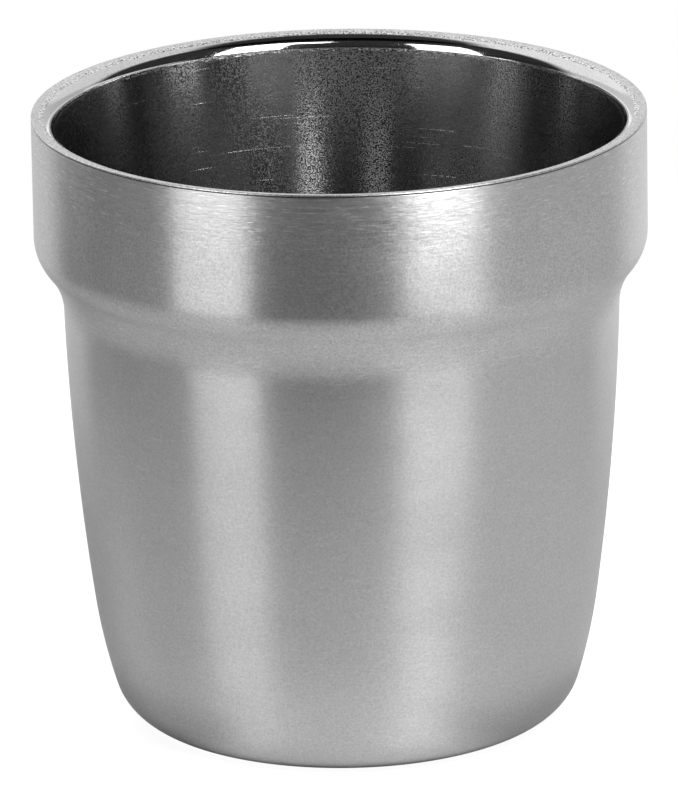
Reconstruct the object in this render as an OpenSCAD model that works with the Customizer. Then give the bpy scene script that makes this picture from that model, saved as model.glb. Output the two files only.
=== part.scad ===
// Double-walled julep cup of formed sheet steel: an outer shell with a collar, an inner liner with a
// rolled lip, and a base plate that closes the foot. The origin is the centre of the foot, on the surface
// that the cup stands on, and +Z runs up the axis.

/* [Overall] */
// Height from the foot to the top of the lip
overall_height = 92; // [84:0.5:110]
// Outside diameter of the collar
collar_diameter = 90; // [80:0.5:100]

/* [Outer shell] */
// Sheet thickness of the outer shell
shell_wall = 0.6; // [0.4:0.1:1]
// Height of the collar's straight wall, from the rim seam to the shoulder
collar_height = 17.7; // [10:0.1:22]
// Outside radius of the rounded shoulder under the collar
shoulder_radius = 6.4; // [4:0.1:9]
// Angle from upright to which the shoulder turns in
shoulder_angle = 39.8; // [32:0.1:46]
// Outside radius of the hollow bend between the shoulder and the body
neck_radius = 11.8; // [8:0.1:15]
// Angle of the body from upright just below the neck
taper_top = 1.6; // [1:0.1:3]
// Angle of the body from upright where its belly begins to turn in
taper_belly = 7.8; // [6.5:0.1:9]
// Angle of the body from upright where the bottom corner begins
taper_foot = 17.2; // [14:0.1:22]
// Outside radius of the belly, between the upper body and the bottom corner
belly_radius = 79; // [50:1:100]
// Outside radius of the bottom corner
corner_radius = 8; // [5:0.5:10]
// Width of the flat foot ring that the shell is turned in to
foot_width = 2; // [1:0.1:4]

/* [Inner liner] */
// Sheet thickness of the liner
liner_wall = 0.5; // [0.4:0.1:0.8]
// Width of the level land between the lip's outer edge and its crown
lip_land = 0.2; // [0.1:0.05:0.5]
// Radius of the lip's crown, the wide first part of its roll
lip_crown_radius = 4; // [3:0.1:5]
// Angle from level to which the crown turns down
lip_crown_angle = 35; // [25:1:45]
// Radius of the lip's inner roll, between the crown and the liner's wall
lip_roll_radius = 2; // [1.5:0.1:2.8]
// Height of the lip's edge above the rim weld, where the sheet is thinned to sit on the shell
lip_edge_height = 0.25; // [0.15:0.05:0.4]
// Clearance between the step in the lip's edge and the inside of the shell
lip_seat_clearance = 0.05; // [0.02:0.01:0.1]
// Radius inside the liner between its wall and its floor
liner_corner_radius = 12; // [8:0.5:20]
// Least air gap between the liner's wall and the shell, at the neck or the belly
wall_gap = 1.1; // [0.4:0.1:1.5]
// Air gap between the base plate and the liner's floor
floor_gap = 3.4; // [2:0.1:8]

/* [Base plate] */
// Sheet thickness of the base plate
base_wall = 0.6; // [0.4:0.1:0.8]
// Width of the flat rim of the base plate, inside its weld
base_rim_width = 1.5; // [1:0.1:4]
// How far the middle of the base plate is raised off the surface
base_recess = 1.5; // [1.2:0.1:2.5]
// Angle of the step between the base plate's rim and its raised middle
base_step_angle = 60; // [50:1:70]

/* [Welds] */
// Height of the weld between the lip's edge and the shell
rim_weld_height = 0.15; // [0.1:0.05:0.4]
// Width of the weld between the foot ring and the base plate
base_weld_width = 0.5; // [0.3:0.1:1]
// How far the face of a weld lies below the sheets that it joins
weld_recess = 0.05; // [0.02:0.01:0.1]

/* [Hidden] */

// Drawing fineness: facets round the axis and along each bend
axis_facets = 180;
bend_facets = 12;
// How far a cut runs past the face that it leaves through
cut_overrun = 1;

// Headings on the half section, in degrees from the outward direction
inward = 180;
down = 270;
square_turn = 90;

// The side of a path, seen along its heading, on which the sheet lies
left_side = 1;
right_side = -1;

shell_color = [0.78, 0.77, 0.75];
liner_color = [0.52, 0.52, 0.52];
base_color = [0.7, 0.69, 0.68];
weld_color = [0.35, 0.34, 0.33];

// Upright stack of the rim: shell edge, weld, then the edge of the lip
collar_radius = collar_diameter / 2;
weld_top = overall_height - lip_edge_height;
shell_top = weld_top - rim_weld_height;

// Upper body: an arc that takes up the height between the neck and the belly
shoulder_drop = shoulder_radius * sin(shoulder_angle);
neck_drop = neck_radius * (sin(shoulder_angle) - sin(taper_top));
belly_drop = belly_radius * (sin(taper_foot) - sin(taper_belly));
corner_drop = corner_radius * (1 - sin(taper_foot));
body_drop = shell_top - collar_height - shoulder_drop - neck_drop - belly_drop - corner_drop;
body_radius = body_drop / (sin(taper_belly) - sin(taper_top));

// A formed sheet follows a path along its visible face on the half section. A place on it is
// [radius from the axis, height, heading]. A step is [length, 0] for a straight run or [radius, turn] for
// a bend, where a turn to the left is positive.
function left_of(heading) = [-sin(heading), cos(heading)];
function along(heading) = [cos(heading), sin(heading)];
function beside(place, distance) = [place[0], place[1]] + distance * left_of(place[2]);
function bend_centre(place, step) = beside(place, sign(step[1]) * step[0]);
function run_end(place, step) = beside(place, 0) + step[0] * along(place[2]);
function bend_end(place, step) =
    bend_centre(place, step) - sign(step[1]) * step[0] * left_of(place[2] + step[1]);
function is_bend(step) = step[1] != 0;
function after(place, step) =
    let (end = is_bend(step) ? bend_end(place, step) : run_end(place, step))
    [end[0], end[1], place[2] + step[1]];
function place_after(start, steps, count) =
    count == 0 ? start : after(place_after(start, steps, count - 1), steps[count - 1]);

// The places that draw one step: the end of a run, or evenly turned places along a bend
function places_on(place, step) =
    is_bend(step)
        ? [for (i = [1 : bend_facets]) after(place, [step[0], step[1] * i / bend_facets])]
        : [after(place, step)];

// The outline at a distance to the left of a path
function rail(start, steps, distance) = [
    beside(start, distance),
    for (i = [0 : len(steps) - 1])
        for (place = places_on(place_after(start, steps, i), steps[i]))
            beside(place, distance),
];
function reversed(list) = [for (i = [len(list) - 1 : -1 : 0]) list[i]];

// Outer shell: down the outside from the rim seam to the inner edge of the foot ring
shell_start = [collar_radius, shell_top, down];
shell_steps = [
    [collar_height, 0],
    [shoulder_radius, -shoulder_angle],
    [neck_radius, shoulder_angle - taper_top],
    [body_radius, taper_top - taper_belly],
    [belly_radius, taper_belly - taper_foot],
    [corner_radius, taper_foot - square_turn],
    [foot_width, 0],
];
neck_step = 2;
belly_step = 4;
neck_centre = bend_centre(place_after(shell_start, shell_steps, neck_step), shell_steps[neck_step]);
belly_back = beside(place_after(shell_start, shell_steps, belly_step), right_side * shell_wall);
foot_inner_radius = place_after(shell_start, shell_steps, len(shell_steps))[0];

// Inner liner: over the rim from the lip's edge, down the inside and across the floor to the axis
liner_start = [collar_radius, overall_height, inward];
crown_steps = [
    [lip_land, 0],
    [lip_crown_radius, lip_crown_angle],
];
roll_centre = beside(place_after(liner_start, crown_steps, len(crown_steps)), lip_roll_radius);

// The liner's wall is the straight line from the lip's inner roll that clears the inside of the neck and of
// the belly by wall_gap. The first is round, and the second is taken as a point.
function taper_past(centre, radius) =
    let (offset = roll_centre - centre, clearance = wall_gap + radius - (lip_roll_radius - liner_wall))
    atan2(offset[0], offset[1]) + asin(clearance / norm(offset));
liner_taper = max(taper_past(neck_centre, neck_radius + shell_wall), taper_past(belly_back, 0));
liner_turn = square_turn - liner_taper;
floor_height = base_wall + base_recess + floor_gap + liner_wall;
liner_wall_top = roll_centre[1] + lip_roll_radius * sin(liner_taper);
liner_wall_bottom = floor_height + liner_corner_radius * (1 - sin(liner_taper));
liner_run = (liner_wall_top - liner_wall_bottom) / cos(liner_taper);
liner_wall_steps = concat(crown_steps, [
    [lip_roll_radius, liner_turn - lip_crown_angle],
    [liner_run, 0],
    [liner_corner_radius, -liner_turn],
]);
floor_run = place_after(liner_start, liner_wall_steps, len(liner_wall_steps))[0];
liner_steps = concat(liner_wall_steps, [[floor_run, 0]]);

// Base plate: along the underside from its weld, up a step and across the raised middle to the axis
base_radius = foot_inner_radius - base_weld_width;
base_bend_radius = base_recess / (2 * (1 - cos(base_step_angle)));
base_start = [base_radius, 0, inward];
base_rim_steps = [
    [base_rim_width, 0],
    [base_bend_radius, -base_step_angle],
    [base_bend_radius, base_step_angle],
];
base_middle_run = place_after(base_start, base_rim_steps, len(base_rim_steps))[0];
base_steps = concat(base_rim_steps, [[base_middle_run, 0]]);

// The half section of a sheet, with its wall on one side of its path
module sheet_section(start, steps, wall, side) {
    face = rail(start, steps, 0);
    back = rail(start, steps, side * wall);
    polygon(concat(face, reversed(back)));
}

// The half section of a plain ring, between two radii and two heights
module ring_section(inner, outer, bottom, top) {
    translate([inner, bottom])
        square([outer - inner, top - bottom]);
}

// Turns a half section round the axis
module turned() {
    rotate_extrude($fn = axis_facets)
        children();
}

module outer_shell() {
    color(shell_color)
        turned()
            sheet_section(shell_start, shell_steps, shell_wall, right_side);
}

// The back of the lip's edge is cut to a step that sits on the rim weld, inside the shell
module inner_liner() {
    step_radius = collar_radius - shell_wall - lip_seat_clearance;
    color(liner_color)
        turned()
            difference() {
                sheet_section(liner_start, liner_steps, liner_wall, left_side);
                ring_section(step_radius, collar_radius + cut_overrun, weld_top - liner_wall, weld_top);
            }
}

module base_plate() {
    color(base_color)
        turned()
            sheet_section(base_start, base_steps, base_wall, right_side);
}

// The rim weld fills the seam between the shell's top edge and the edge of the lip
module rim_weld() {
    color(weld_color)
        turned()
            ring_section(collar_radius - shell_wall, collar_radius - weld_recess, shell_top, weld_top);
}

// The base weld fills the seam between the foot ring and the base plate
module base_weld() {
    color(weld_color)
        turned()
            ring_section(base_radius, foot_inner_radius, weld_recess, shell_wall);
}

outer_shell();
inner_liner();
base_plate();
rim_weld();
base_weld();
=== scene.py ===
"""Looks of the julep cup: smooth turned sheets in brushed and polished steel, in a plain white studio.

Lengths are in metres, in the CAD frame: the origin is the centre of the foot and +Z runs up the axis.
"""

import math

import bmesh
import bpy
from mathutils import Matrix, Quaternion, Vector


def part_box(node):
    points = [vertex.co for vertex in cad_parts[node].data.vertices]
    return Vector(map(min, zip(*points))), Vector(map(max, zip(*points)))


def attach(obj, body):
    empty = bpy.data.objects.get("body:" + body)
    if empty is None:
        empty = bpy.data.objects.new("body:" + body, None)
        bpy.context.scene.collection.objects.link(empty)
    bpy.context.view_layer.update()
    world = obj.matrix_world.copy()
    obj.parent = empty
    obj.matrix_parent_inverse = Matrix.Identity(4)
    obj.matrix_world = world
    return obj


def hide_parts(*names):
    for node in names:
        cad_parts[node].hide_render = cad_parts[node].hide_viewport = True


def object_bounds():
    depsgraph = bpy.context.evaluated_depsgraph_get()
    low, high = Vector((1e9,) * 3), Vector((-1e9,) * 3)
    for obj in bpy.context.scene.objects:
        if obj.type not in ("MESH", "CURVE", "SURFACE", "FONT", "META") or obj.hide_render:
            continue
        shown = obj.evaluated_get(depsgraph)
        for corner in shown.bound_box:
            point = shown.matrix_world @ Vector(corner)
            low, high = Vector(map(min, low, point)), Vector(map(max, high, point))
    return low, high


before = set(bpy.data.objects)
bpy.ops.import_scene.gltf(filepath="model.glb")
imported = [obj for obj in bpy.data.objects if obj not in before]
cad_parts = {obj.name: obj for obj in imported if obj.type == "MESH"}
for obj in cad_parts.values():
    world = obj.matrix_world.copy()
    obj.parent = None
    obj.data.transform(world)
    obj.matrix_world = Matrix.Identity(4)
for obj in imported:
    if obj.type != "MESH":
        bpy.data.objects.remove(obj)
cad_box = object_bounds()

MM = 0.001
DEG = math.pi / 180
SQUARE_TURN = 90
FULL_TURN = 360

# Sizes that the frame gives
COLLAR_RADIUS = cad_box[1].x
LIP_TOP = cad_box[1].z
SHELL_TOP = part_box("outer_shell")[1].z
WELD_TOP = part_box("rim_weld")[1].z
WELD_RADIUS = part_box("rim_weld")[1].x
LINER_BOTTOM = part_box("inner_liner")[0].z
BASE_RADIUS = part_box("base_plate")[1].x
BASE_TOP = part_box("base_plate")[1].z
FOOT_INNER_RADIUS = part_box("base_weld")[1].x
BASE_WELD_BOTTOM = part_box("base_weld")[0].z

# Outer shell, as in the CAD source
SHELL_WALL = 0.6 * MM
COLLAR_HEIGHT = 17.7 * MM
SHOULDER_RADIUS = 6.4 * MM
SHOULDER_ANGLE = 39.8
NECK_RADIUS = 11.8 * MM
TAPER_TOP = 1.6
TAPER_BELLY = 7.8
TAPER_FOOT = 17.2
BELLY_RADIUS = 79 * MM
CORNER_RADIUS = 8 * MM
FOOT_WIDTH = 2 * MM

# Inner liner, as in the CAD source
LINER_WALL = 0.5 * MM
LIP_LAND = 0.2 * MM
LIP_CROWN_RADIUS = 4 * MM
LIP_CROWN_ANGLE = 35
LIP_ROLL_RADIUS = 2 * MM
LIP_SEAT_CLEARANCE = 0.05 * MM
LINER_CORNER_RADIUS = 12 * MM
WALL_GAP = 1.1 * MM

# Finishes over the lip: the crown is brushed, then mottled, and the rest of it is polished with the roll.
# The top of the wall is mottled.
BRUSHED_ANGLE = 14
MOTTLED_ANGLE = 10
MOTTLED_RUN = 0.35 * MM

# Base plate, as in the CAD source
BASE_WALL = 0.6 * MM
BASE_RIM_WIDTH = 1.5 * MM
BASE_STEP_ANGLE = 60

# Rounds on the cut edges of the sheets
EDGE_ROUND = 0.07 * MM
LIP_EDGE_ROUND = 0.18 * MM

# Fineness of the turned meshes: steps round the axis, and the longest run and turn of a step along the
# shown and the hidden faces
AXIS_STEPS = 320
SHOWN = {"run": 1.6 * MM, "turn": 3.0}
HIDDEN = {"run": 8 * MM, "turn": 9.0}
# Points closer to the axis than this are on it, and edges sharper than this angle stay sharp
ON_AXIS = 0.01 * MM
SHARP_ANGLE = 30

# Headings on the half section, in degrees from the outward direction
OUTWARD, UP, INWARD, DOWN = 0, 90, 180, 270

SHELL_START = (COLLAR_RADIUS, SHELL_TOP, DOWN)
LIP_START = (COLLAR_RADIUS, LIP_TOP, INWARD)


def sine(degrees):
    return math.sin(degrees * DEG)


def cosine(degrees):
    return math.cos(degrees * DEG)


# Formed sheets: a path on the half section is walked from a place (radius, height, heading) by steps, which
# are (length, 0) for a straight run and (radius, turn) for a bend. A turn to the left is positive.

def beside(place, distance):
    """The point at a distance to the left of a place."""
    radius, height, heading = place
    return (radius - distance * sine(heading), height + distance * cosine(heading))


def bend_centre(place, step):
    """The centre of the bend that starts at a place."""
    return beside(place, math.copysign(step[0], step[1]))


def after(place, step):
    """The place at the end of a step."""
    size, turn = step
    radius, height, heading = place
    if turn == 0:
        return (radius + size * cosine(heading), height + size * sine(heading), heading)
    centre = bend_centre(place, step)
    offset = math.copysign(size, turn)
    heading += turn
    return (centre[0] + offset * sine(heading), centre[1] - offset * cosine(heading), heading)


def place_after(place, steps):
    """The place at the end of several steps."""
    for step in steps:
        place = after(place, step)
    return place


def walk(place, steps, fineness):
    """Places along the steps, with the first one."""
    places = [place]
    for size, turn in steps:
        length = abs(turn) * DEG * size if turn else size
        count = max(1, math.ceil(length / fineness["run"]), math.ceil(abs(turn) / fineness["turn"]))
        start = places[-1]
        for i in range(1, count + 1):
            part = (size, turn * i / count) if turn else (size * i / count, 0)
            places.append(after(start, part))
    return places


def rail(place, steps, distance, fineness):
    """Points of the outline at a distance to the left of a path."""
    return [beside(p, distance) for p in walk(place, steps, fineness)]


# Which of the shell's steps are its neck and its belly
NECK_STEP = 2
BELLY_STEP = 4


def shell_steps():
    """Steps of the outer face of the shell, down from its top edge to the inner edge of the foot ring."""
    fixed_drop = (
        COLLAR_HEIGHT
        + SHOULDER_RADIUS * sine(SHOULDER_ANGLE)
        + NECK_RADIUS * (sine(SHOULDER_ANGLE) - sine(TAPER_TOP))
        + BELLY_RADIUS * (sine(TAPER_FOOT) - sine(TAPER_BELLY))
        + CORNER_RADIUS * (1 - sine(TAPER_FOOT))
    )
    body_radius = (SHELL_TOP - fixed_drop) / (sine(TAPER_BELLY) - sine(TAPER_TOP))
    return [
        (COLLAR_HEIGHT, 0),
        (SHOULDER_RADIUS, -SHOULDER_ANGLE),
        (NECK_RADIUS, SHOULDER_ANGLE - TAPER_TOP),
        (body_radius, TAPER_TOP - TAPER_BELLY),
        (BELLY_RADIUS, TAPER_BELLY - TAPER_FOOT),
        (CORNER_RADIUS, TAPER_FOOT - SQUARE_TURN),
        (FOOT_WIDTH, 0),
    ]


def crown_steps():
    """Steps of the lip's land and crown, inward from its outer edge."""
    return [(LIP_LAND, 0), (LIP_CROWN_RADIUS, LIP_CROWN_ANGLE)]


def liner_taper():
    """Angle of the liner's wall from upright: it clears the inside of the shell's neck and belly."""
    steps = shell_steps()
    neck = bend_centre(place_after(SHELL_START, steps[:NECK_STEP]), steps[NECK_STEP])
    belly = beside(place_after(SHELL_START, steps[:BELLY_STEP]), -SHELL_WALL)
    roll_centre = beside(place_after(LIP_START, crown_steps()), LIP_ROLL_RADIUS)

    def past(centre, radius):
        across = roll_centre[0] - centre[0]
        up = roll_centre[1] - centre[1]
        clearance = WALL_GAP + radius - (LIP_ROLL_RADIUS - LINER_WALL)
        return (math.atan2(across, up) + math.asin(clearance / math.hypot(across, up))) / DEG

    return max(past(neck, NECK_RADIUS + SHELL_WALL), past(belly, 0))


def liner_steps():
    """Steps of the liner's lip, wall and floor, inward from the lip's outer edge to the axis."""
    taper = liner_taper()
    lip_turn = SQUARE_TURN - taper
    lip = crown_steps() + [(LIP_ROLL_RADIUS, lip_turn - LIP_CROWN_ANGLE)]
    wall_top = place_after(LIP_START, lip)
    wall_bottom_height = LINER_BOTTOM + LINER_WALL + LINER_CORNER_RADIUS * (1 - sine(taper))
    wall = ((wall_top[1] - wall_bottom_height) / cosine(taper), 0)
    corner = (LINER_CORNER_RADIUS, -lip_turn)
    floor_radius = place_after(wall_top, [wall, corner])[0]
    return lip, wall, [corner, (floor_radius, 0)]


def ring(bm, radius, height):
    """The vertices of one ring. On the axis they are one vertex, repeated."""
    if radius < ON_AXIS:
        return [bm.verts.new((0, 0, height))] * AXIS_STEPS
    angles = [2 * math.pi * i / AXIS_STEPS for i in range(AXIS_STEPS)]
    return [bm.verts.new((radius * math.cos(a), radius * math.sin(a), height)) for a in angles]


def turned(name, outline, closed):
    """A mesh turned round +Z. The outline is a list of (radius, height, finish), where a finish numbers the
    material of the face that follows the point. It is closed, or starts and ends on the axis."""
    bm = bmesh.new()
    rings = [ring(bm, radius, height) for radius, height, _ in outline]
    pairs = list(zip(range(len(rings)), range(1, len(rings))))
    if closed:
        pairs.append((len(rings) - 1, 0))
    for one, other in pairs:
        for i in range(AXIS_STEPS):
            j = (i + 1) % AXIS_STEPS
            corners = [rings[one][i], rings[one][j], rings[other][j], rings[other][i]]
            face = bm.faces.new(list(dict.fromkeys(corners)))
            face.material_index = outline[one][2]
    bmesh.ops.recalc_face_normals(bm, faces=bm.faces)
    mesh = bpy.data.meshes.new(name)
    bm.to_mesh(mesh)
    bm.free()
    mesh.shade_smooth()
    mesh.set_sharp_from_angle(angle=SHARP_ANGLE * DEG)
    piece = bpy.data.objects.new(name, mesh)
    bpy.context.collection.objects.link(piece)
    return piece


def finished(points, finish=0):
    """The points of an outline, each with the same finish."""
    return [(radius, height, finish) for radius, height in points]


# Nodes: they are added by kind, with values or links for their sockets

WHITE = (1, 1, 1, 1)
# Where a new stop of a colour ramp is made, before it is moved to its place
NEW_STOP = 0.5


def add(tree, kind, values=None, **settings):
    """A new shader node. Each value is a number, a colour, or another node's output."""
    made = tree.nodes.new("ShaderNode" + kind)
    for key, value in settings.items():
        setattr(made, key, value)
    for key, value in (values or {}).items():
        if isinstance(value, bpy.types.NodeSocket):
            tree.links.new(value, made.inputs[key])
        else:
            made.inputs[key].default_value = value
    return made


def calc(tree, operation, first, second=0.0):
    """One step of arithmetic."""
    return add(tree, "Math", {0: first, 1: second}, operation=operation).outputs[0]


def times(tree, first, second):
    """The product of two values."""
    return calc(tree, "MULTIPLY", first, second)


def weighted_sum(tree, parts):
    """The sum of values that are given with their weights."""
    level = 0.0
    for value, weight in parts:
        level = calc(tree, "ADD", times(tree, value, weight), level)
    return level


def ramp(tree, value, low, high, to_low=0.0, to_high=1.0):
    """A value taken smoothly from one range to another."""
    sockets = {"Value": value, "From Min": low, "From Max": high, "To Min": to_low, "To Max": to_high}
    return add(tree, "MapRange", sockets, interpolation_type="SMOOTHSTEP").outputs[0]


def noise(tree, point, size_across, size_up, detail):
    """Noise whose grains have one size across the surface, round the axis, and another up it."""
    scale = (1 / size_across, 1 / size_across, 1 / size_up)
    scaled = add(tree, "VectorMath", {0: point, 1: scale}, operation="MULTIPLY").outputs[0]
    return add(tree, "TexNoise", {"Vector": scaled, "Scale": 1.0, "Detail": detail}).outputs[0]


def graded(tree, position, stops, interpolation):
    """A grey level from (position, level) stops. Positions and levels go from 0 to 1."""
    band = add(tree, "ValToRGB", {0: position})
    band.color_ramp.interpolation = interpolation
    elements = band.color_ramp.elements
    while len(elements) < len(stops):
        elements.new(NEW_STOP)
    for element, (place, level) in zip(elements, stops):
        element.position = place
        element.color = (level, level, level, 1)
    return band.outputs[0]


def by_height(tree, point, stops):
    """A level that changes smoothly with height, from (height, level) stops."""
    height = add(tree, "SeparateXYZ", {0: point}).outputs["Z"]
    share = calc(tree, "DIVIDE", height, LIP_TOP)
    return graded(tree, share, [(place / LIP_TOP, level) for place, level in stops], "EASE")


# Steel: sizes of its marks, round the axis and up the surface
LONG_LINE = (7 * MM, 0.26 * MM)
SHORT_LINE = (1.3 * MM, 0.24 * MM)
PATCH = (14 * MM, 8 * MM)
SPOT_CLUSTER = (9 * MM, 30 * MM)
# Detail of the noise that makes the marks, and the value about which it swings
LINE_DETAIL = 2.0
MARK_DETAIL = 1.0
PATCH_DETAIL = 3.0
NOISE_MIDDLE = 0.5
# Shares of the long and short lines, and how far the lines change the roughness
LONG_SHARE = 0.4
SHORT_SHARE = 0.6
LINE_ROUGHNESS = 0.6
# Ranges of noise, and what the patches and the spots' clusters make of them
PATCH_NOISE = (0.3, 0.7)
PATCH_SHADES = (-0.02, 0.02)
PATCH_ROUGHNESSES = (0.98, 1.04)
CLUSTER_NOISE = (0.4, 0.6)
CLUSTER_LEVELS = (0.85, 1.0)
# Share of a full turn that stretches the highlights across the brushed lines
ACROSS_LINES = 0.25


def centred(tree, value):
    """Noise that swings about 0."""
    return calc(tree, "SUBTRACT", value, NOISE_MIDDLE)


def steel_marks(tree, point, look):
    """Lines and grain that swing about 0, scratches and spots from 0 to 1, and the noise of the patches."""
    long_lines = noise(tree, point, *LONG_LINE, LINE_DETAIL)
    short_lines = noise(tree, point, *SHORT_LINE, LINE_DETAIL)
    lines = weighted_sum(tree, [(long_lines, LONG_SHARE), (short_lines, SHORT_SHARE)])
    line_level = by_height(tree, point, look["line_heights"])
    grain = noise(tree, point, look["grain_size"], look["grain_size"], MARK_DETAIL)
    grain_level = by_height(tree, point, look["grain_heights"])
    scratches = noise(tree, point, *look["scratch_size"], MARK_DETAIL)
    spots = noise(tree, point, look["spot_size"], look["spot_size"], MARK_DETAIL)
    clusters = noise(tree, point, *SPOT_CLUSTER, MARK_DETAIL)
    clusters = ramp(tree, clusters, *CLUSTER_NOISE, *CLUSTER_LEVELS)
    return {
        "lines": times(tree, centred(tree, lines), line_level),
        "grain": times(tree, centred(tree, grain), grain_level),
        "scratches": times(tree, ramp(tree, scratches, *look["scratch_range"]), line_level),
        "spots": times(tree, ramp(tree, spots, *look["spot_range"]), clusters),
        "patches": noise(tree, point, *PATCH, PATCH_DETAIL),
    }


def steel_colour(tree, marks, look):
    """The grey of the steel, with all its marks."""
    patches = ramp(tree, marks["patches"], *PATCH_NOISE, *PATCH_SHADES)
    change = weighted_sum(tree, [
        (marks["lines"], look["line_shade"]),
        (marks["grain"], look["grain_shade"]),
        (marks["scratches"], look["scratch_shade"]),
        (marks["spots"], look["spot_shade"]),
        (patches, 1.0),
    ])
    shade = times(tree, calc(tree, "ADD", change, 1.0), look["tone"])
    return add(tree, "CombineColor", {"Red": shade, "Green": shade, "Blue": shade}).outputs[0]


def steel_roughness(tree, point, marks, look):
    """The roughness of the steel by height, with its patches, lines and spots."""
    patches = ramp(tree, marks["patches"], *PATCH_NOISE, *PATCH_ROUGHNESSES)
    change = weighted_sum(tree, [(patches, 1.0), (marks["lines"], LINE_ROUGHNESS)])
    level = times(tree, by_height(tree, point, look["roughness_heights"]), look["roughness"])
    return weighted_sum(tree, [(change, level), (marks["spots"], look["spot_roughness"])])


def steel_relief(tree, marks, look):
    """The surface direction of the steel, with its lines, grain and scratches in relief."""
    relief = weighted_sum(tree, [
        (marks["lines"], look["line_depth"]),
        (marks["grain"], look["grain_depth"]),
        (marks["scratches"], -look["scratch_depth"]),
    ])
    return add(tree, "Bump", {"Height": relief, "Distance": 1.0, "Strength": 1.0}).outputs[0]


def steel(name, look):
    """Steel with lines brushed round the axis, fine grain, scratches along the lines and clustered spots."""
    material = bpy.data.materials.new(name)
    material.use_nodes = True
    tree = material.node_tree
    sockets = tree.nodes["Principled BSDF"].inputs
    point = add(tree, "TexCoord").outputs["Object"]
    marks = steel_marks(tree, point, look)
    tangent = add(tree, "Tangent", direction_type="RADIAL", axis="Z")
    tree.links.new(steel_colour(tree, marks, look), sockets["Base Color"])
    tree.links.new(steel_roughness(tree, point, marks, look), sockets["Roughness"])
    tree.links.new(steel_relief(tree, marks, look), sockets["Normal"])
    tree.links.new(tangent.outputs[0], sockets["Tangent"])
    sockets["Metallic"].default_value = 1.0
    sockets["Anisotropic"].default_value = look["anisotropy"]
    sockets["Anisotropic Rotation"].default_value = ACROSS_LINES
    return material


# Looks: a tone is the grey of the bare steel, a shade is a mark's change to it, and a range is the noise over
# which a mark appears. Most marks are as strong at every height.
ALL_HEIGHTS = [(0, 1.0), (LIP_TOP, 1.0)]
EVEN = {"line_heights": ALL_HEIGHTS, "roughness_heights": ALL_HEIGHTS, "grain_heights": ALL_HEIGHTS}
OUTSIDE = {
    "tone": 0.62, "roughness": 0.345, "anisotropy": 0.9,
    "roughness_heights": [(0, 0.83), (75 * MM, 0.83), (91 * MM, 1.0)],
    "line_depth": 0.04 * MM, "line_shade": 0.65,
    "line_heights": [
        (0, 0.2), (58 * MM, 0.2), (66 * MM, 0.5), (73 * MM, 0.18), (80 * MM, 0.35), (89 * MM, 1.0),
    ],
    "grain_size": 0.32 * MM, "grain_depth": 0.009 * MM, "grain_shade": 0.8,
    "grain_heights": [(0, 0.6), (60 * MM, 0.55), (70 * MM, 0.9), (83 * MM, 0.9), (90 * MM, 0.4)],
    # The scratches are real marks in relief, and their lighter colour, strongest near the top of the collar,
    # is painted glint.
    "scratch_size": (2.2 * MM, 0.17 * MM), "scratch_range": (0.64, 0.71),
    "scratch_depth": 0.003 * MM, "scratch_shade": 0.45,
    "spot_size": 0.36 * MM, "spot_range": (0.8, 0.86), "spot_shade": 0.35, "spot_roughness": 0.0,
}
INSIDE = {
    **EVEN, "tone": 0.455, "roughness": 0.1, "anisotropy": 0.5,
    "line_depth": 0.002 * MM, "line_shade": 0.2,
    "grain_size": 0.3 * MM, "grain_depth": 0.006 * MM, "grain_shade": 0.3,
    "scratch_size": (16 * MM, 0.13 * MM), "scratch_range": (0.73, 0.78),
    "scratch_depth": 0.004 * MM, "scratch_shade": 0.12,
    "spot_size": 0.21 * MM, "spot_range": (0.5, 0.57), "spot_shade": -0.8, "spot_roughness": 0.22,
}
LIP_POLISHED = {
    **EVEN, "tone": 0.67, "roughness": 0.07, "anisotropy": 0.2,
    "line_depth": 0.0005 * MM, "line_shade": 0.05,
    "grain_size": 0.3 * MM, "grain_depth": 0.001 * MM, "grain_shade": 0.4,
    "scratch_size": (5 * MM, 0.1 * MM), "scratch_range": (0.74, 0.8),
    "scratch_depth": 0.0005 * MM, "scratch_shade": -0.1,
    "spot_size": 0.3 * MM, "spot_range": (0.58, 0.66), "spot_shade": -0.3, "spot_roughness": 0.1,
}
LIP_BRUSHED = {
    **EVEN, "tone": 0.59, "roughness": 0.3, "anisotropy": 0.4,
    "line_depth": 0.006 * MM, "line_shade": 0.4,
    "grain_size": 0.26 * MM, "grain_depth": 0.01 * MM, "grain_shade": 1.6,
    "scratch_size": (3 * MM, 0.1 * MM), "scratch_range": (0.72, 0.78),
    "scratch_depth": 0.004 * MM, "scratch_shade": -0.2,
    "spot_size": 0.3 * MM, "spot_range": (0.62, 0.72), "spot_shade": -0.4, "spot_roughness": 0.1,
}
LIP_MOTTLED = {
    **EVEN, "tone": 0.74, "roughness": 0.29, "anisotropy": 0.0,
    "line_depth": 0.004 * MM, "line_shade": 0.3,
    "grain_size": 0.3 * MM, "grain_depth": 0.12 * MM, "grain_shade": 3.0,
    "scratch_size": (3 * MM, 0.1 * MM), "scratch_range": (0.72, 0.78),
    "scratch_depth": 0.004 * MM, "scratch_shade": -0.2,
    "spot_size": 0.36 * MM, "spot_range": (0.52, 0.62), "spot_shade": -0.55, "spot_roughness": 0.0,
}
WALL_TOP = {**LIP_MOTTLED, "tone": 0.28}
BASE = {
    **EVEN, "tone": 0.6, "roughness": 0.34, "anisotropy": 0.8,
    "line_depth": 0.01 * MM, "line_shade": 0.3,
    "grain_size": 0.3 * MM, "grain_depth": 0.02 * MM, "grain_shade": 0.4,
    "scratch_size": (6 * MM, 0.2 * MM), "scratch_range": (0.72, 0.78),
    "scratch_depth": 0.004 * MM, "scratch_shade": -0.2,
    "spot_size": 0.4 * MM, "spot_range": (0.7, 0.8), "spot_shade": -0.25, "spot_roughness": 0.1,
}
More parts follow.
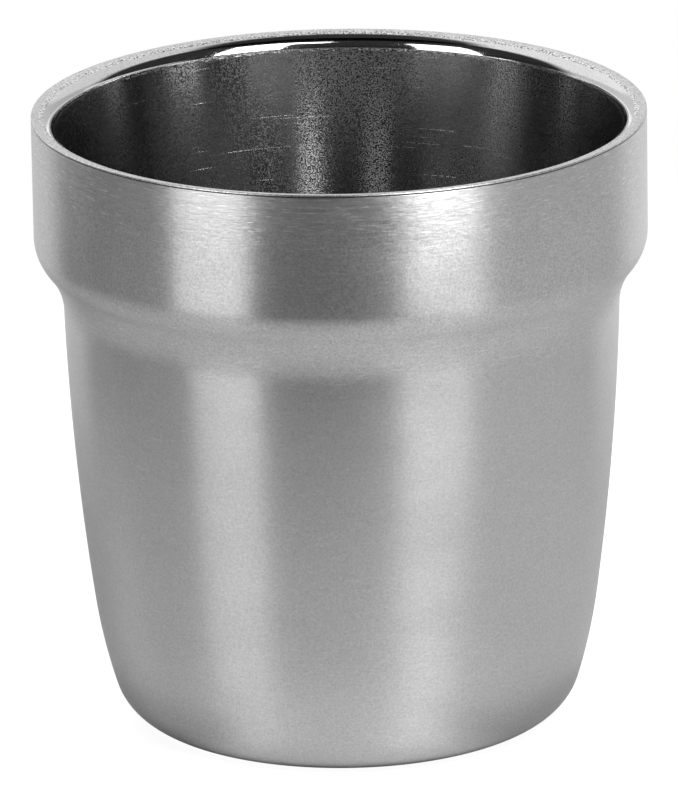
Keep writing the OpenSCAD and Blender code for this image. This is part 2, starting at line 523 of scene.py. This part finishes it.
# The weld's near-black tone is painted shade: it stands in for the shadow in the seam's groove.
WELD_PAINTED_SHADE = {
    **EVEN, "tone": 0.03, "roughness": 0.45, "anisotropy": 0.0,
    "line_depth": 0.001 * MM, "line_shade": 0.2,
    "grain_size": 0.4 * MM, "grain_depth": 0.06 * MM, "grain_shade": 1.5,
    "scratch_size": (3 * MM, 0.2 * MM), "scratch_range": (0.72, 0.78),
    "scratch_depth": 0.004 * MM, "scratch_shade": -0.2,
    "spot_size": 0.6 * MM, "spot_range": (0.5, 0.6), "spot_shade": 0.6, "spot_roughness": -0.1,
}
LINER_LOOKS = {
    "satin_inside": INSIDE,
    "brushed_lip": LIP_BRUSHED,
    "mottled_lip": LIP_MOTTLED,
    "polished_lip": LIP_POLISHED,
    "mottled_wall": WALL_TOP,
}
LINER_FINISHES = list(LINER_LOOKS)


# Pieces

def outer_shell():
    """The formed outside sheet, with a small round on its top edge."""
    steps = shell_steps()
    face_start = (COLLAR_RADIUS - EDGE_ROUND, SHELL_TOP, OUTWARD)
    face_steps = [(EDGE_ROUND, -SQUARE_TURN), (COLLAR_HEIGHT - EDGE_ROUND, 0)] + steps[1:]
    face = rail(face_start, face_steps, 0, SHOWN)
    back = rail(SHELL_START, steps, -SHELL_WALL, HIDDEN)
    piece = turned("cup_outer_shell", finished(face + back[::-1]), closed=True)
    piece.data.materials.append(steel("brushed_outside", OUTSIDE))
    return piece


def liner_face(lip, wall, floor):
    """The shown outline of the liner with its finishes, from the foot of the lip's edge to the axis."""
    edge = [
        (LIP_TOP - WELD_TOP - LIP_EDGE_ROUND, 0),
        (LIP_EDGE_ROUND, SQUARE_TURN),
        (LIP_LAND - LIP_EDGE_ROUND, 0),
    ]
    polished_angle = LIP_CROWN_ANGLE - BRUSHED_ANGLE - MOTTLED_ANGLE
    zones = {
        "brushed_lip": edge + [(LIP_CROWN_RADIUS, BRUSHED_ANGLE)],
        "mottled_lip": [(LIP_CROWN_RADIUS, MOTTLED_ANGLE)],
        "polished_lip": [(LIP_CROWN_RADIUS, polished_angle), lip[-1]],
        "mottled_wall": [(MOTTLED_RUN, 0)],
        "satin_inside": [(wall[0] - MOTTLED_RUN, 0)] + floor,
    }
    outline = []
    place = (COLLAR_RADIUS, WELD_TOP, UP)
    for finish, steps in zones.items():
        outline = outline[:-1] + finished(rail(place, steps, 0, SHOWN), LINER_FINISHES.index(finish))
        place = place_after(place, steps)
    return outline


def inner_liner():
    """The drawn inside sheet: lip, wall and floor, with a step under the lip's edge."""
    lip, wall, floor = liner_steps()
    back = rail(LIP_START, lip + [wall] + floor, LINER_WALL, HIDDEN)
    step_radius = COLLAR_RADIUS - SHELL_WALL - LIP_SEAT_CLEARANCE
    under = [(step_radius, WELD_TOP)] + [point for point in back if point[0] < step_radius]
    hidden = finished(under[::-1], LINER_FINISHES.index("satin_inside"))
    piece = turned("cup_inner_liner", hidden + liner_face(lip, wall, floor), closed=False)
    for name, look in LINER_LOOKS.items():
        piece.data.materials.append(steel(name, look))
    return piece


def base_plate():
    """The stamped disc that closes the foot."""
    recess = BASE_TOP - BASE_WALL
    bend = recess / (2 * (1 - cosine(BASE_STEP_ANGLE)))
    start = (BASE_RADIUS, 0, INWARD)
    steps = [(BASE_RIM_WIDTH, 0), (bend, -BASE_STEP_ANGLE), (bend, BASE_STEP_ANGLE)]
    steps.append((place_after(start, steps)[0], 0))
    face = rail(start, steps, 0, SHOWN)
    back = rail(start, steps, -BASE_WALL, HIDDEN)
    piece = turned("cup_base_plate", finished(face[::-1] + back), closed=False)
    piece.data.materials.append(steel("turned_base", BASE))
    return piece


def weld_ring(name, material, inner, outer, bottom, top):
    """A ring of weld between two sheets."""
    corners = [(inner, bottom), (outer, bottom), (outer, top), (inner, top)]
    piece = turned(name, finished(corners), closed=True)
    piece.data.materials.append(material)
    return piece


def stand_for(piece, node):
    """The piece rides on the root body in place of a CAD node."""
    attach(piece, "root")
    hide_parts(node)


def make_welds():
    """The welds at the rim and at the foot."""
    # Both welds take this steel, whose dark tone is painted shade for the seam's groove.
    seam = steel("weld_seam_painted_shade", WELD_PAINTED_SHADE)
    rim_inner = COLLAR_RADIUS - SHELL_WALL
    rim = weld_ring("cup_rim_weld", seam, rim_inner, WELD_RADIUS, SHELL_TOP, WELD_TOP)
    stand_for(rim, "rim_weld")
    base = weld_ring("cup_base_weld", seam, BASE_RADIUS, FOOT_INNER_RADIUS, BASE_WELD_BOTTOM, SHELL_WALL)
    stand_for(base, "base_weld")


stand_for(outer_shell(), "outer_shell")
stand_for(inner_liner(), "inner_liner")
stand_for(base_plate(), "base_plate")
make_welds()


# Studio: azimuths and elevations are in degrees, and azimuths run from the camera's side to its right

# Floor: a round platform whose edge fades out, its tone, its sheen's roughness and its glow to the camera
PLATFORM_RADIUS = 0.29
PLATFORM_FADE = 0.18
PLATFORM_CORNERS = 128
FLOOR_TONE = 0.5
FLOOR_ROUGHNESS = 0.35
FLOOR_GLOW = 0.85
# Its sheen, and its glow in reflections, on the left and the right of the cup
LEFT_FLOOR_SHEEN = 0.05
RIGHT_FLOOR_SHEEN = 0.004
LEFT_FLOOR_GLOW = 0.03
RIGHT_FLOOR_GLOW = 0.13
SIDE_REACH = 0.08
# The light that the cup throws on the floor in front of its foot, seen only in reflections: the radii and the
# places from front to back over which it fades
FOOT_GLOW = 0.16
FOOT_GLOW_RADIUS = 0.045
FOOT_GLOW_END = 0.08
FOOT_GLOW_FRONT = -0.045
FOOT_GLOW_BACK = -0.018
# Radii between which the floor turns from a painted shadow under the bottom corner to its full tone. Its glow
# to the camera makes up for the dark tone.
DARK_RADIUS = 0.0295
LIT_RADIUS = 0.0315
DARK_FLOOR_GLOW = 0.97
# To the left and right of the foot, a painted shadow makes the floor darker out to a wider ring
SIDE_SHADE = 0.65
SIDE_SHADE_START = 0.016
SIDE_SHADE_FULL = 0.028
SIDE_RING_START = 0.034
SIDE_RING_END = 0.046

# Room that the steel reflects: its levels by azimuth. Below the horizon it is dark on the camera's side and
# paler on the others. Above it there is only the white backdrop behind the cup, under a dark ceiling.
ROOM_BELOW = [
    (-180, 0.7), (-138, 0.7), (-124, 0.18), (-104, 0.18), (-92, 0.28), (-70, 0.28), (-58, 0.05),
    (40, 0.05), (50, 0.8), (64, 0.6), (108, 0.55), (122, 0.48), (138, 0.85), (180, 0.85),
]
ROOM_ABOVE = [
    (-180, 0.75), (-112, 0.75), (-100, 0.024), (110, 0.024), (120, 0.58), (155, 0.58), (180, 0.75),
]
HORIZON_START = -3
HORIZON_END = 4
CEILING_START = 58
CEILING_END = 66
CEILING_LEVEL = 0.04
# The room is brighter in a band at the horizon, and above a higher elevation. A band is given by the
# elevations at which it starts, is full, begins to fade and ends.
HORIZON_GLOW = 0.8
HORIZON_BAND = (-1, 1, 2, 6)
UPPER_GLOW = 0.5
UPPER_START = 16
UPPER_FULL = 21
# A bright strip low at the right: its levels by azimuth, and its band
STRIP_LEVELS = [(-180, 0), (60, 0), (72, 0.6), (90, 0.9), (112, 0.9), (126, 0), (180, 0)]
STRIP_BAND = (3, 6, 10, 13)
# Share of a full turn at which the camera's side lies
CAMERA_SIDE = 0.5

# Softboxes: distances are from the axis, heights are of the centre, and a tilt is downwards
SOFTBOXES = [
    dict(azimuth=-47.5, distance=0.7, height=0.41, tilt=0, width=0.36, tall=0.78, radiance=3.4),
    dict(azimuth=36.2, distance=0.7, height=0.565, tilt=0, width=0.3, tall=0.67, radiance=10.9),
    dict(azimuth=50.8, distance=0.7, height=0.565, tilt=0, width=0.056, tall=0.67, radiance=4.5),
    dict(azimuth=31, distance=0.37, height=0.6, tilt=54, width=0.36, tall=0.12, radiance=4.0),
]

# Camera: its focal length in pixels of the image, whose longer side spans the sensor
CAMERA_DISTANCE = 1.5
CAMERA_ELEVATION = 17.3
CAMERA_ROLL = -0.92
CAMERA_TARGET = Vector((-0.63 * MM, 0, 48.43 * MM))
IMAGE_HEIGHT = 789
FOCAL_PIXELS = 10183
SENSOR_MM = 36


def floor_shade(tree, radius, across):
    """How far painted shadow darkens the floor: fully under the bottom corner, and partly beside the foot."""
    past_foot = ramp(tree, radius, DARK_RADIUS, LIT_RADIUS)
    past_ring = ramp(tree, radius, SIDE_RING_START, SIDE_RING_END)
    aside = calc(tree, "ABSOLUTE", across)
    side_shade = ramp(tree, aside, SIDE_SHADE_START, SIDE_SHADE_FULL, 1.0, SIDE_SHADE)
    return times(tree, past_foot, calc(tree, "MAXIMUM", side_shade, past_ring))


def floor_glow(tree, radius, parts, shade):
    """The floor's glow to the camera, and its weaker glow in reflections."""
    path = add(tree, "LightPath").outputs
    seen = ramp(tree, radius, DARK_RADIUS, LIT_RADIUS, DARK_FLOOR_GLOW, FLOOR_GLOW)
    side_glow = ramp(tree, parts["X"], -SIDE_REACH, SIDE_REACH, LEFT_FLOOR_GLOW, RIGHT_FLOOR_GLOW)
    foot_glow = ramp(tree, radius, FOOT_GLOW_RADIUS, FOOT_GLOW_END, FOOT_GLOW, 0.0)
    at_front = ramp(tree, parts["Y"], FOOT_GLOW_FRONT, FOOT_GLOW_BACK, 1.0, 0.0)
    reflected = weighted_sum(tree, [(side_glow, 1.0), (foot_glow, at_front)])
    reflected = times(tree, reflected, shade)
    strength = weighted_sum(tree, [(path["Is Camera Ray"], seen), (path["Is Glossy Ray"], reflected)])
    return add(tree, "Emission", {"Strength": strength}).outputs[0]


def floor_surface(tree):
    """A matt, faintly glossy and glowing floor that fades out at its edge."""
    point = add(tree, "TexCoord").outputs["Object"]
    radius = add(tree, "VectorMath", {0: point}, operation="LENGTH").outputs["Value"]
    parts = add(tree, "SeparateXYZ", {0: point}).outputs
    shade = floor_shade(tree, radius, parts["X"])
    matt = add(tree, "BsdfDiffuse", {"Color": times(tree, shade, FLOOR_TONE)}).outputs[0]
    side_sheen = ramp(tree, parts["X"], -SIDE_REACH, SIDE_REACH, LEFT_FLOOR_SHEEN, RIGHT_FLOOR_SHEEN)
    sheen = add(tree, "BsdfGlossy", {"Color": side_sheen, "Roughness": FLOOR_ROUGHNESS}).outputs[0]
    lit = add(tree, "AddShader", {0: matt, 1: sheen}).outputs[0]
    lit = add(tree, "AddShader", {0: lit, 1: floor_glow(tree, radius, parts, shade)}).outputs[0]
    edge = ramp(tree, radius, PLATFORM_RADIUS - PLATFORM_FADE, PLATFORM_RADIUS)
    clear = add(tree, "BsdfTransparent").outputs[0]
    return add(tree, "MixShader", {0: edge, 1: lit, 2: clear}).outputs[0]


def make_floor():
    """A round white platform that keeps the cup's shadow, with painted shadow round its foot."""
    bpy.ops.mesh.primitive_circle_add(vertices=PLATFORM_CORNERS, radius=PLATFORM_RADIUS, fill_type="NGON")
    floor = bpy.context.object
    floor.name = "studio_floor"
    material = bpy.data.materials.new("white_floor")
    material.use_nodes = True
    tree = material.node_tree
    tree.nodes.clear()
    add(tree, "OutputMaterial", {"Surface": floor_surface(tree)})
    floor.data.materials.append(material)


def by_azimuth(tree, turn, stops):
    """A level from (azimuth, level) stops."""
    return graded(tree, turn, [(place / FULL_TURN + CAMERA_SIDE, level) for place, level in stops], "LINEAR")


def in_band(tree, height, start, full, fade, end):
    """A level that is 1 inside a band of elevations and 0 outside it."""
    rise = ramp(tree, height, sine(start), sine(full))
    fall = ramp(tree, height, sine(fade), sine(end), 1.0, 0.0)
    return times(tree, rise, fall)


def room_level(tree, direction):
    """The brightness of the room in a direction."""
    azimuth = calc(tree, "ARCTAN2", direction["X"], times(tree, direction["Y"], -1.0))
    turn = calc(tree, "ADD", calc(tree, "DIVIDE", azimuth, 2 * math.pi), CAMERA_SIDE)
    height = direction["Z"]
    above = ramp(tree, height, sine(HORIZON_START), sine(HORIZON_END))
    sides = {"A": by_azimuth(tree, turn, ROOM_BELOW), "B": by_azimuth(tree, turn, ROOM_ABOVE)}
    walls = add(tree, "Mix", {"Factor": above, **sides}, data_type="FLOAT").outputs["Result"]
    open_sky = ramp(tree, height, sine(CEILING_START), sine(CEILING_END), 1.0, CEILING_LEVEL)
    upper = ramp(tree, height, sine(UPPER_START), sine(UPPER_FULL), 1.0, 1.0 + UPPER_GLOW)
    glow = weighted_sum(tree, [(in_band(tree, height, *HORIZON_BAND), HORIZON_GLOW), (upper, 1.0)])
    strip = by_azimuth(tree, turn, STRIP_LEVELS)
    strip_band = in_band(tree, height, *STRIP_BAND)
    return weighted_sum(tree, [(walls, times(tree, open_sky, glow)), (strip, strip_band)])


def make_world():
    """A plain room: white to the camera, and graded in reflections."""
    world = bpy.data.worlds.new("studio_room")
    bpy.context.scene.world = world
    world.use_nodes = True
    tree = world.node_tree
    tree.nodes.clear()
    direction = add(tree, "SeparateXYZ", {0: add(tree, "TexCoord").outputs["Generated"]}).outputs
    lit = add(tree, "Background", {"Color": WHITE, "Strength": room_level(tree, direction)}).outputs[0]
    white = add(tree, "Background", {"Color": WHITE}).outputs[0]
    camera_ray = add(tree, "LightPath").outputs["Is Camera Ray"]
    mix = add(tree, "MixShader", {0: camera_ray, 1: lit, 2: white})
    add(tree, "OutputWorld", {"Surface": mix.outputs[0]})


def towards(azimuth):
    """Level direction from the axis at an azimuth."""
    return Vector((sine(azimuth), -cosine(azimuth), 0))


def make_softbox(azimuth, distance, height, tilt, width, tall, radiance):
    """A rectangular lamp that faces the cup and isn't seen by the camera."""
    light = bpy.data.lights.new("softbox", "AREA")
    light.shape = "RECTANGLE"
    light.size = width
    light.size_y = tall
    light.energy = radiance * math.pi * width * tall
    lamp = bpy.data.objects.new("softbox", light)
    bpy.context.collection.objects.link(lamp)
    lamp.location = towards(azimuth) * distance + Vector((0, 0, height))
    lamp.rotation_mode = "QUATERNION"
    facing = towards(azimuth) * -cosine(tilt) - Vector((0, 0, sine(tilt)))
    lamp.rotation_quaternion = facing.to_track_quat("-Z", "Y")
    lamp.visible_camera = False


def make_camera():
    """The photograph's view: a long lens from the front and above, with a slight roll."""
    data = bpy.data.cameras.new("camera")
    camera = bpy.data.objects.new("camera", data)
    bpy.context.collection.objects.link(camera)
    data.sensor_width = SENSOR_MM
    data.lens = FOCAL_PIXELS * SENSOR_MM / IMAGE_HEIGHT
    back = Vector((0, -cosine(CAMERA_ELEVATION), sine(CAMERA_ELEVATION)))
    camera.location = CAMERA_TARGET + back * CAMERA_DISTANCE
    camera.rotation_mode = "QUATERNION"
    roll = Quaternion((0, 0, 1), CAMERA_ROLL * DEG)
    camera.rotation_quaternion = (-back).to_track_quat("-Z", "Y") @ roll
    bpy.context.scene.camera = camera


make_floor()
make_world()
for softbox in SOFTBOXES:
    make_softbox(**softbox)
make_camera()
bpy.context.scene.view_settings.view_transform = "Standard"
